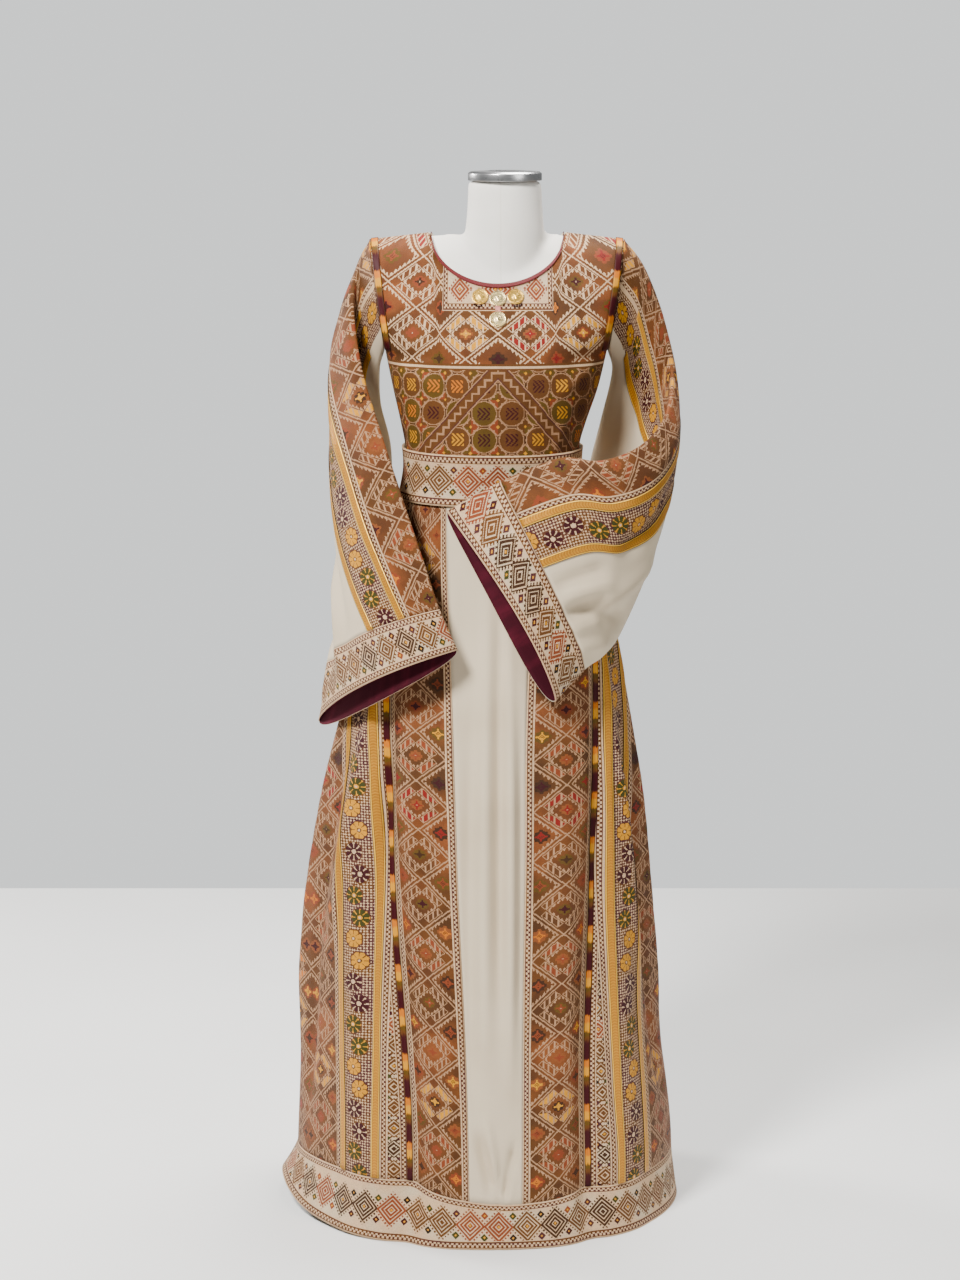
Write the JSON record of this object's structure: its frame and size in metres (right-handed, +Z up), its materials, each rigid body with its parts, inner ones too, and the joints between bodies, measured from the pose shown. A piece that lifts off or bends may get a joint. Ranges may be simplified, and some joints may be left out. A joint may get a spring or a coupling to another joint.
{
  "type": "palestinian thobe dress on a limbless dress form",
  "caption": "Floor-length embroidered thobe with belt and wide winged sleeves on a limbless dress form with a round base plate.",
  "frame": {"origin": "underside centre of the form's round base plate, on the floor", "axes": "+Z up, -Y out of the dress's front, +X to the viewer's right"},
  "size_m": [0.5848, 0.5027, 1.507],
  "materials": {
    "thobe_embroidery": "dense cross-stitch on cotton",
    "thobe_cream": "plain cream satin-backed crepe",
    "band_embroidery": "cross-stitch diamonds on cream",
    "cuff_lining": "burgundy velvet",
    "striped_silk": "striped satin",
    "gold_ribbon": "woven metallic braid",
    "neck_binding": "folded dark red binding",
    "coin_gold": "pressed gilt coins",
    "form_cover": "smooth off-white jersey",
    "form_metal": "satin metal"
  },
  "bodies": {
    "root": {"bodice_front": "thobe_embroidery", "skirt_front_left": "thobe_embroidery", "skirt_front_right": "thobe_embroidery", "skirt_gore_left": "thobe_embroidery", "skirt_gore_right": "thobe_embroidery", "sleeve_left": "thobe_embroidery", "sleeve_right": "thobe_embroidery", "bodice_back": "thobe_cream", "skirt_centre": "thobe_cream", "skirt_back_left": "thobe_cream", "skirt_back_right": "thobe_cream", "belt": "band_embroidery", "hem_band_front": "band_embroidery", "hem_band_back": "band_embroidery", "cuff_left": "band_embroidery", "cuff_right": "band_embroidery", "cuff_lining_left": "cuff_lining", "cuff_lining_right": "cuff_lining", "seam_silk_left": "striped_silk", "seam_silk_right": "striped_silk", "armhole_silk_front_left": "striped_silk", "armhole_silk_front_right": "striped_silk", "armhole_silk_back_left": "striped_silk", "armhole_silk_back_right": "striped_silk", "skirt_ribbon_inner_left": "gold_ribbon", "skirt_ribbon_inner_right": "gold_ribbon", "skirt_ribbon_outer_left": "gold_ribbon", "skirt_ribbon_outer_right": "gold_ribbon", "sleeve_ribbon_inner_a_left": "gold_ribbon", "sleeve_ribbon_inner_a_right": "gold_ribbon", "sleeve_ribbon_inner_b_left": "gold_ribbon", "sleeve_ribbon_inner_b_right": "gold_ribbon", "sleeve_ribbon_outer_a_left": "gold_ribbon", "sleeve_ribbon_outer_a_right": "gold_ribbon", "sleeve_ribbon_outer_b_left": "gold_ribbon", "sleeve_ribbon_outer_b_right": "gold_ribbon", "neck_binding_front": "neck_binding", "neck_binding_back": "neck_binding", "coin_left": "coin_gold", "coin_middle": "coin_gold", "coin_right": "coin_gold", "coin_drop": "coin_gold", "form_torso": "form_cover", "form_neck_cap": "form_metal", "form_pole": "form_metal", "form_base": "form_metal"}
  },
  "joints": []
}
